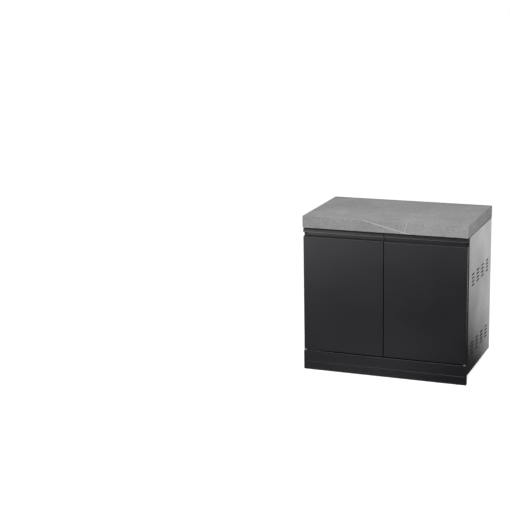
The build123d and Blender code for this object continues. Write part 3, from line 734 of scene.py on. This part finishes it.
class CABINET_OT_set_stage(bpy.types.Operator):
    """Lay the floor and set the light and the camera"""
    bl_idname = "cabinet.set_stage"
    bl_label = "Set Stage"

    def execute(self, context):
        studio = context.scene.cabinet_studio
        self.lay_floor()
        self.lay_card("near card", x=(-5.0, 4.0), y=(-1.3, -0.31), way=(-1.0, 0.0),
                      stops=((-0.45, 0.1), (0.1, 0.46), (0.6, 0.36)))
        self.lay_card("far card", x=(-5.0, 4.0), y=(-7.0, -1.3), way=(-1.0, -0.25),
                      stops=((0.4, 0.03), (1.4, 0.23), (2.05, 0.5), (2.45, 2.5)))
        self.lay_card("side card", x=(0.49, 5.0), y=(-0.31, 8.0), way=(-2.6, 1.0),
                      stops=((-1.3, 0.05), (-0.6, 1.6), (0.4, 2.2)))
        self.set_world(studio)
        self.hang_light("key soft box", place=(-0.6, -1.8, 2.85), aim=(0.0, 0.0, 0.75), size=1.8,
                        power=studio.key_power)
        self.hang_light("fill soft box", place=(1.5, -1.3, 1.6), aim=(0.3, -0.2, 0.8), size=1.0,
                        power=studio.fill_power)
        self.set_camera(studio)
        context.scene.view_settings.view_transform = "Standard"
        return {"FINISHED"}

    def flat(self, name, x, y, level):
        """A rectangle that lies level between two places along X and two along Y."""
        mesh = bpy.data.meshes.new(name)
        corners = [(x[0], y[0], level), (x[1], y[0], level), (x[1], y[1], level), (x[0], y[1], level)]
        mesh.from_pydata(corners, [], [(0, 1, 2, 3)])
        return mesh

    def lay_floor(self):
        """A wide pale floor that shows white to the camera and in reflections, and keeps the shadow."""
        reach = -FLOOR_REACH, FLOOR_REACH
        mesh = self.flat("floor", reach, reach, 0.0)
        material, tree, _ = new_material("pale studio floor")
        seen = background_rays(tree)
        paint = add_node(tree, "ShaderNodeBsdfDiffuse", {"Color": linear("#e6e6e6")})
        lift = add_node(tree, "ShaderNodeEmission", {"Color": linear("#ffffff"), "Strength": 0.74})
        bright = add_node(tree, "ShaderNodeAddShader", {0: paint.outputs[0], 1: lift.outputs[0]})
        shown = add_node(tree, "ShaderNodeMixShader", {0: seen, 1: paint.outputs[0], 2: bright.outputs[0]})
        add_node(tree, "ShaderNodeOutputMaterial", {"Surface": shown.outputs[0]})
        mesh.materials.append(material)
        floor = bpy.data.objects.new("floor", mesh)
        bpy.context.scene.collection.objects.link(floor)

    def lay_card(self, name, x, y, way, stops):
        """A graded card on the floor, seen only in reflections. Each stop is a place along the direction
        given and the glow there."""
        mesh = self.flat(name, x, y, MM)
        material, tree, place = new_material(name)
        along = add_node(tree, "ShaderNodeVectorMath", {0: place, 1: (*way, 0.0)}, operation="DOT_PRODUCT")
        glow = stops[0][1]
        for (start, low), (end, high) in zip(stops, stops[1:]):
            rise = add_node(tree, "ShaderNodeMapRange",
                            {"Value": along.outputs["Value"], "From Min": start, "From Max": end,
                             "To Max": high - low}, interpolation_type="SMOOTHSTEP")
            glow = add_node(tree, "ShaderNodeMath", {0: glow, 1: rise.outputs[0]}).outputs[0]
        light = add_node(tree, "ShaderNodeEmission", {"Strength": glow})
        add_node(tree, "ShaderNodeOutputMaterial", {"Surface": light.outputs[0]})
        mesh.materials.append(material)
        card = bpy.data.objects.new(name, mesh)
        card.visible_camera = card.visible_diffuse = card.visible_shadow = card.visible_transmission = False
        bpy.context.scene.collection.objects.link(card)

    def set_world(self, studio):
        """White to the camera and to reflections, an even grey light to everything else."""
        world = bpy.data.worlds.new("studio")
        world.use_nodes = True
        tree = world.node_tree
        tree.nodes.clear()
        strength = add_node(tree, "ShaderNodeMapRange",
                            {"Value": background_rays(tree), "To Min": studio.ambient})
        sky = add_node(tree, "ShaderNodeBackground",
                       {"Color": linear("#ffffff"), "Strength": strength.outputs[0]})
        add_node(tree, "ShaderNodeOutputWorld", {"Surface": sky.outputs[0]})
        bpy.context.scene.world = world

    def hang_light(self, name, place, aim, size, power):
        """A square soft box that points at a place."""
        data = bpy.data.lights.new(name, "AREA")
        data.size = size
        data.energy = power
        light = bpy.data.objects.new(name, data)
        light.location = place
        light.rotation_euler = (Vector(aim) - Vector(place)).to_track_quat("-Z", "Y").to_euler()
        light.visible_camera = False
        bpy.context.scene.collection.objects.link(light)

    def set_camera(self, studio):
        """The camera of the photograph, for a square frame, which this script does not set."""
        data = bpy.data.cameras.new("camera")
        data.lens = studio.focal
        data.sensor_width = SENSOR_WIDTH_MM
        data.clip_end = 200.0
        camera = bpy.data.objects.new("camera", data)
        upright = Euler((math.pi / 2 - studio.pitch, 0.0, studio.yaw)).to_matrix()
        aim = upright @ Matrix.Rotation(studio.roll, 3, "Z")
        camera.matrix_world = Matrix.Translation(studio.eye) @ aim.to_4x4()
        bpy.context.scene.collection.objects.link(camera)
        bpy.context.scene.camera = camera


PIECES = (
    CABINET_OT_dress_benchtop, CABINET_OT_dress_carcass, CABINET_OT_dress_doors, CABINET_OT_dress_fittings,
    CABINET_OT_turn_pivots, CABINET_OT_turn_feet, CABINET_OT_trim_handles, CABINET_OT_add_screws,
    CABINET_OT_add_rivets, CABINET_OT_set_stage,
)


class VIEW3D_PT_cabinet(bpy.types.Panel):
    """Buttons for the cabinet's pieces and stage"""
    bl_label = "Outdoor Kitchen Cabinet"
    bl_space_type = "VIEW_3D"
    bl_region_type = "UI"
    bl_category = "Cabinet"

    def draw(self, context):
        for piece in PIECES:
            self.layout.operator(piece.bl_idname)


SETTINGS = {
    "cabinet_finish": CabinetFinish,
    "cabinet_fixings": CabinetFixings,
    "cabinet_studio": CabinetStudio,
}
CLASSES = (*SETTINGS.values(), *PIECES, VIEW3D_PT_cabinet)


def register():
    """Register the classes and hang the settings on the scene."""
    for cls in CLASSES:
        bpy.utils.register_class(cls)
    for name, group in SETTINGS.items():
        setattr(bpy.types.Scene, name, bpy.props.PointerProperty(type=group))


def unregister():
    """Take the settings and the classes away again."""
    for name in SETTINGS:
        delattr(bpy.types.Scene, name)
    for cls in reversed(CLASSES):
        bpy.utils.unregister_class(cls)


def main():
    """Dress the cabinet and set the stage."""
    register()
    for piece in PIECES:
        group, action = piece.bl_idname.split(".")
        getattr(getattr(bpy.ops, group), action)()


if __name__ == "__main__":
    main()
